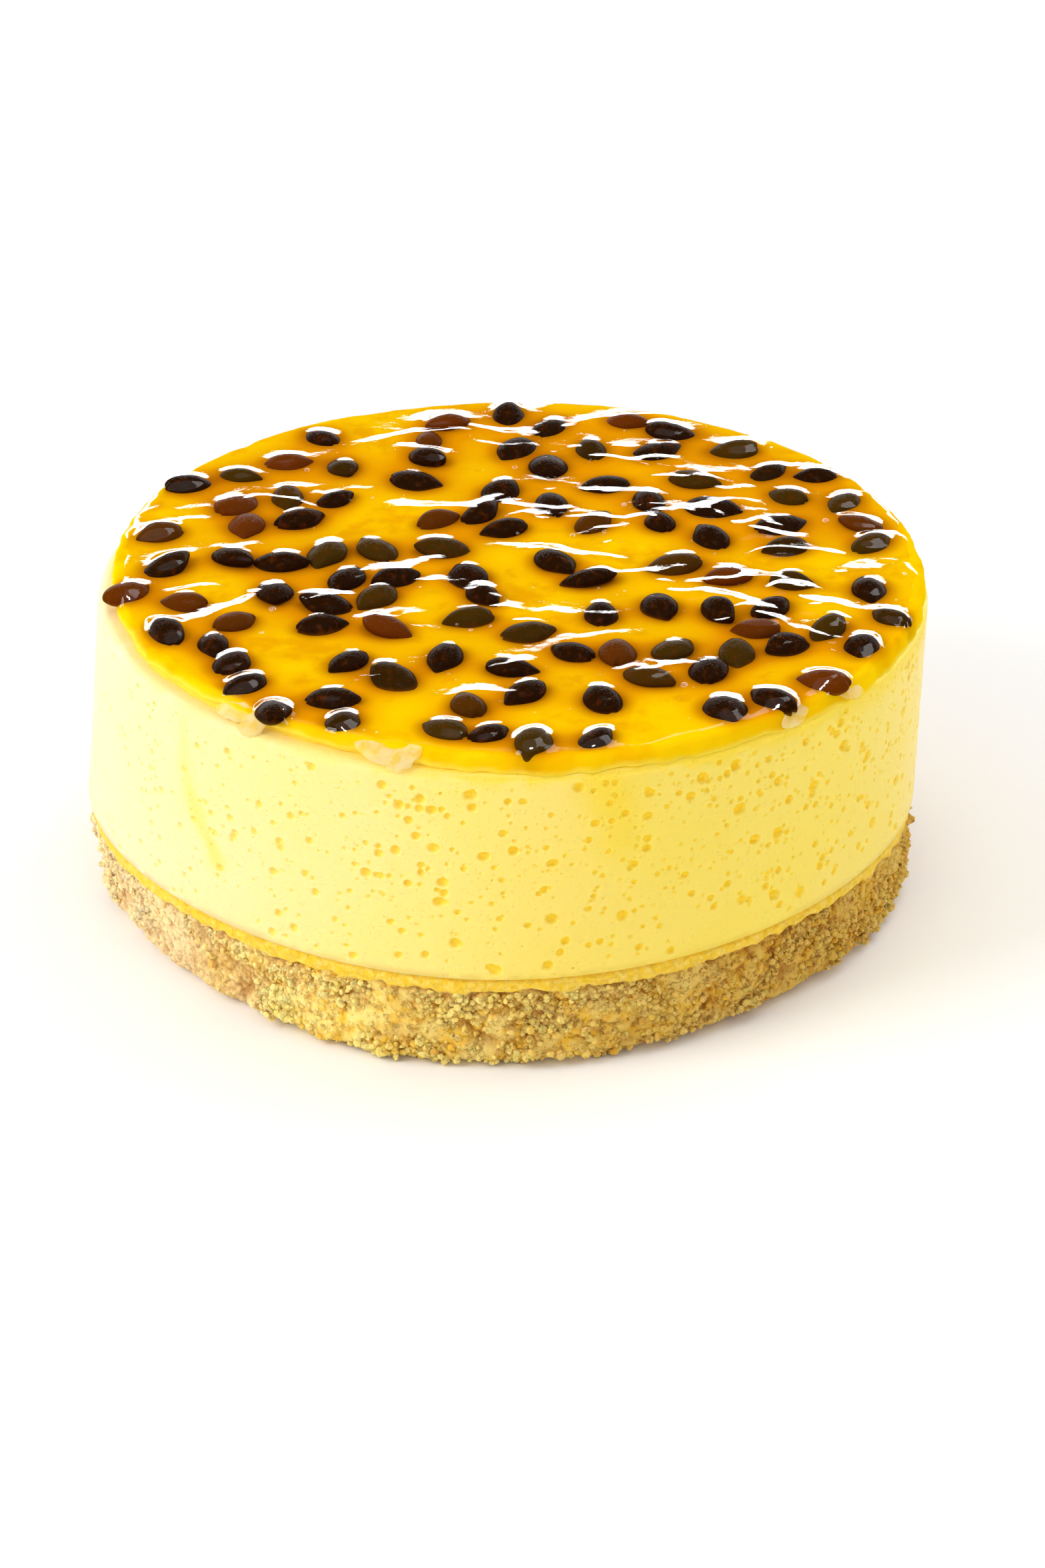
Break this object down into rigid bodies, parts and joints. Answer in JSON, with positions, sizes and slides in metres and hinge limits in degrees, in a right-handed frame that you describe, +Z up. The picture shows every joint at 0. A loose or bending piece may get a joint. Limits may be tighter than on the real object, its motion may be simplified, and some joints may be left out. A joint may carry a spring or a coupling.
{
  "type": "passion fruit cheesecake",
  "caption": "Small round set cheesecake on a pressed biscuit base, with pale yellow airy filling and a glossy passion fruit jelly full of dark seeds on top.",
  "frame": {"origin": "under the middle of the cake, on the surface that it stands on", "axes": "+Z up through the layers; -Y is the side that faces the picture's camera, and the cake leans very slightly towards +X"},
  "size_m": [0.1026, 0.1017, 0.0419],
  "materials": {
    "biscuit_base": "matt, coarse golden crumb",
    "cheesecake_filling": "moist satin, pale yellow with small air holes",
    "passion_fruit_glaze": "wet gloss, orange-yellow jelly with dark brown seeds"
  },
  "bodies": {
    "root": {"biscuit_base": "biscuit_base", "cheesecake_filling": "cheesecake_filling", "passion_fruit_glaze": "passion_fruit_glaze"}
  },
  "joints": []
}
